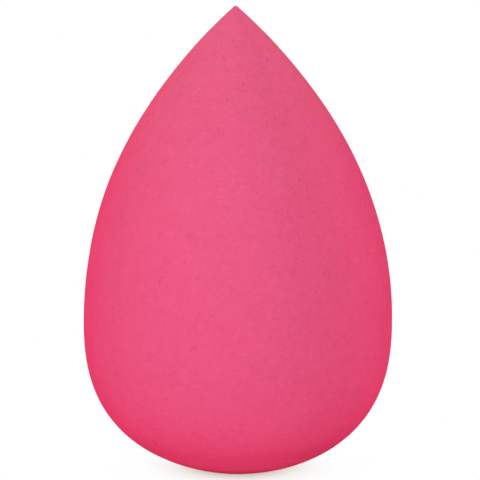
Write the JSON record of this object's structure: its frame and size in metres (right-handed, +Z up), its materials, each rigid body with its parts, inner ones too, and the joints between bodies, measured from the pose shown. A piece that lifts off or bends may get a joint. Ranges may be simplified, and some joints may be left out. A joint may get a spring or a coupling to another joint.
{
  "type": "makeup sponge",
  "caption": "Teardrop makeup sponge of soft pink foam, with a pointed tip for fine work and a full round base, flat underneath so that it stands upright.",
  "frame": {"origin": "centre of the flat rest face under the sponge, on its axis", "axes": "+Z up the axis to the pointed tip; X and Y lie in the rest face, and the sponge is round about Z"},
  "size_m": [0.0394, 0.0394, 0.06],
  "materials": {
    "foam": "matte open-cell foam, coloured all through, with a fine suede-like skin of pores"
  },
  "bodies": {
    "root": {"foam_body": "foam"}
  },
  "joints": []
}
